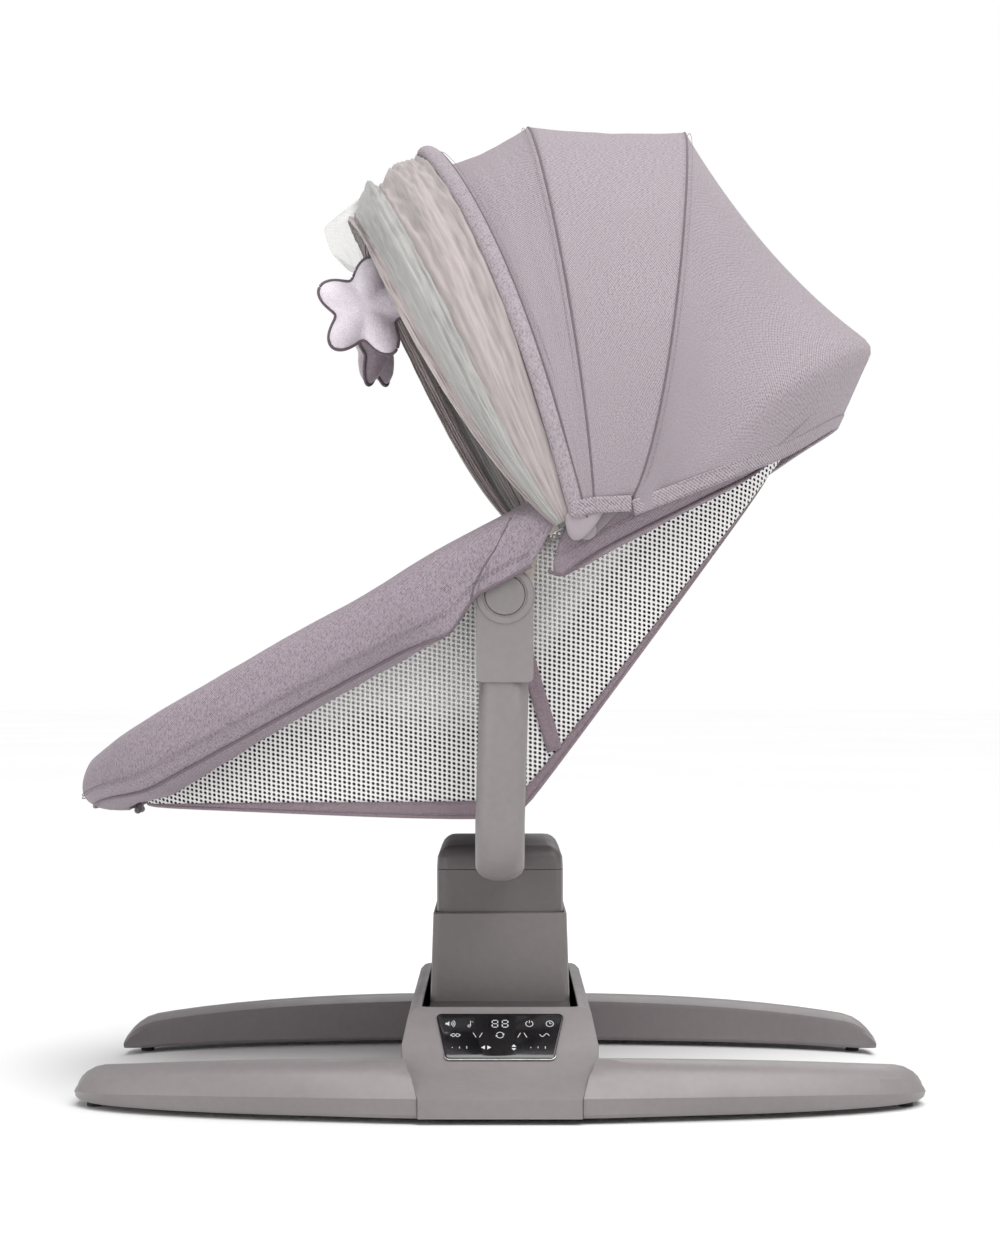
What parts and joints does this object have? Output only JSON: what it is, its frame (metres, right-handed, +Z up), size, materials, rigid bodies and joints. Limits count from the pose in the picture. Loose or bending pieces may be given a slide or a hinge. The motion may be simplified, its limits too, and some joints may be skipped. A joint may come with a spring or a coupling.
{
  "type": "baby swing",
  "caption": "Baby swing with a bowed base, sliding and lifting column, U yoke, reclining seat ring with mesh sling and padded rim, folding canopy with gathered net and hanging star toys.",
  "frame": {"origin": "on the floor under the middle of the swing's length and width", "axes": "+Z up, +X towards the head end, -Y the side with the control panel"},
  "size_m": [0.737, 0.506, 0.8548],
  "materials": {
    "shell_plastic": "satin moulded plastic, warm grey",
    "column_plastic": "satin moulded plastic, darker warm grey",
    "rubber": "matte",
    "panel_gloss": "high gloss black with pale printed symbols",
    "steel": "bright bar",
    "tube_metal": "painted tube",
    "circuit_board": "satin",
    "cream_plastic": "satin",
    "gear_nylon": "natural nylon",
    "cover_fabric": "padded mauve twill",
    "rear_fabric": "darker mauve twill",
    "canopy_fabric": "thin mauve-grey twill",
    "mesh_fabric": "white spacer mesh",
    "liner_fabric": "pale padded liner",
    "net_fabric": "sheer gathered netting",
    "star_plush": "plush, pale lilac",
    "dark_star_plush": "plush, mauve",
    "webbing": "woven strap",
    "bow_plastic": "flexible wire with plastic coat"
  },
  "bodies": {
    "base": {"base_bottom_shell": "column_plastic", "base_housing": "shell_plastic", "leg_front_left": "shell_plastic", "leg_front_right": "shell_plastic", "leg_rear_left": "shell_plastic", "leg_rear_right": "shell_plastic", "foot_pad_front_left": "rubber", "foot_pad_front_right": "rubber", "foot_pad_rear_left": "rubber", "foot_pad_rear_right": "rubber", "control_panel": "panel_gloss", "display_board": "circuit_board", "speaker": "rubber", "dc_socket": "rubber", "slide_rail_front": "steel", "slide_rail_rear": "steel", "slot_curtain_left": "rubber", "slot_curtain_right": "rubber", "slide_rack": "gear_nylon"},
    "carriage": {"carriage_plate": "gear_nylon", "column_sleeve": "column_plastic", "slide_motor": "steel", "lift_rod_left": "steel", "lift_rod_right": "steel", "lift_motor": "steel"},
    "slide_pinion": {"slide_pinion": "gear_nylon"},
    "lift_pinion": {"lift_pinion": "gear_nylon"},
    "head": {"head_shell": "column_plastic", "head_cover": "column_plastic", "head_bridge": "gear_nylon", "lift_rack": "gear_nylon", "yoke_arm_left": "shell_plastic", "yoke_arm_right": "shell_plastic", "hub_socket_left": "shell_plastic", "hub_socket_right": "shell_plastic"},
    "recline_button_left": {"recline_button_left": "column_plastic"},
    "recline_button_right": {"recline_button_right": "column_plastic"},
    "seat": {"seat_rail_front": "tube_metal", "seat_rail_rear": "tube_metal", "seat_connector_left": "cream_plastic", "seat_connector_right": "cream_plastic", "rail_cover_front": "cover_fabric", "rail_cover_rear": "rear_fabric", "sling": "mesh_fabric", "seat_liner": "liner_fabric", "harness_buckle": "rubber", "crotch_strap": "webbing", "waist_strap_left": "webbing", "waist_strap_right": "webbing", "canopy_panel_rear": "canopy_fabric"},
    "buckle_button": {"buckle_button": "column_plastic"},
    "canopy_rear": {"canopy_bow_rear": "bow_plastic"},
    "canopy_middle": {"canopy_bow_middle": "bow_plastic", "canopy_panel_middle": "canopy_fabric"},
    "canopy_front": {"canopy_bow_front": "bow_plastic", "canopy_panel_front": "canopy_fabric", "canopy_net": "net_fabric"},
    "star_light": {"star_toy_light": "star_plush"},
    "star_dark": {"star_toy_dark": "dark_star_plush"}
  },
  "joints": [
    {"name": "side_slide", "type": "slide", "parent": "base", "child": "carriage", "axis": [0, 1, 0], "range_m": [-0.05, 0.05], "deforming": ["slot_curtain_left", "slot_curtain_right"]},
    {"name": "slide_pinion_spin", "type": "hinge", "parent": "carriage", "child": "slide_pinion", "pos_m": [0.0205, 0, 0.0165], "axis": [0, 0, 1], "range_deg": [-245, 245]},
    {"name": "lift_slide", "type": "slide", "parent": "carriage", "child": "head", "axis": [0, 0, 1], "range_m": [0, 0.04]},
    {"name": "lift_pinion_spin", "type": "hinge", "parent": "carriage", "child": "lift_pinion", "pos_m": [0.0205, 0, 0.128], "axis": [0, 1, 0], "range_deg": [-3, 194]},
    {"name": "seat_recline", "type": "hinge", "parent": "head", "child": "seat", "pos_m": [0.0125, 0, 0.428], "axis": [0, 1, 0], "range_deg": [-10, 14]},
    {"name": "recline_button_left_press", "type": "slide", "parent": "head", "child": "recline_button_left", "axis": [0, 1, 0], "range_m": [0, 0.0035], "stiffness_N_per_m": 800},
    {"name": "recline_button_right_press", "type": "slide", "parent": "head", "child": "recline_button_right", "axis": [0, -1, 0], "range_m": [0, 0.0035], "stiffness_N_per_m": 800},
    {"name": "canopy_rear_fold", "type": "hinge", "parent": "seat", "child": "canopy_rear", "pos_m": [0.0785, 0, 0.48], "axis": [0, 1, 0], "range_deg": [0, 34], "deforming": ["canopy_panel_rear"]},
    {"name": "canopy_middle_fold", "type": "hinge", "parent": "canopy_rear", "child": "canopy_middle", "pos_m": [0.0785, 0, 0.48], "axis": [0, 1, 0], "range_deg": [-0.5, 15.5], "deforming": ["canopy_panel_middle"]},
    {"name": "canopy_front_fold", "type": "hinge", "parent": "canopy_middle", "child": "canopy_front", "pos_m": [0.0785, 0, 0.48], "axis": [0, 1, 0], "range_deg": [-0.5, 6.5], "deforming": ["canopy_panel_front"]},
    {"name": "star_light_swing", "type": "hinge", "parent": "canopy_front", "child": "star_light", "pos_m": [-0.1095, -0.055, 0.77], "axis": [0, 1, 0], "range_deg": [-35, 35]},
    {"name": "star_dark_swing", "type": "hinge", "parent": "canopy_front", "child": "star_dark", "pos_m": [-0.1055, 0.022, 0.77], "axis": [0, 1, 0], "range_deg": [-35, 35]},
    {"name": "buckle_button_press", "type": "slide", "parent": "seat", "child": "buckle_button", "axis": [0, 0, -1], "range_m": [0, 0.0025], "stiffness_N_per_m": 500}
  ],
  "couplings": [
    {"joint": "slide_pinion_spin", "follows": "side_slide", "rad_per_m": 83.333},
    {"joint": "lift_pinion_spin", "follows": "lift_slide", "rad_per_m": 83.333},
    {"joint": "canopy_middle_fold", "follows": "canopy_rear_fold", "ratio": 0.44118},
    {"joint": "canopy_front_fold", "follows": "canopy_rear_fold", "ratio": 0.17647}
  ]
}
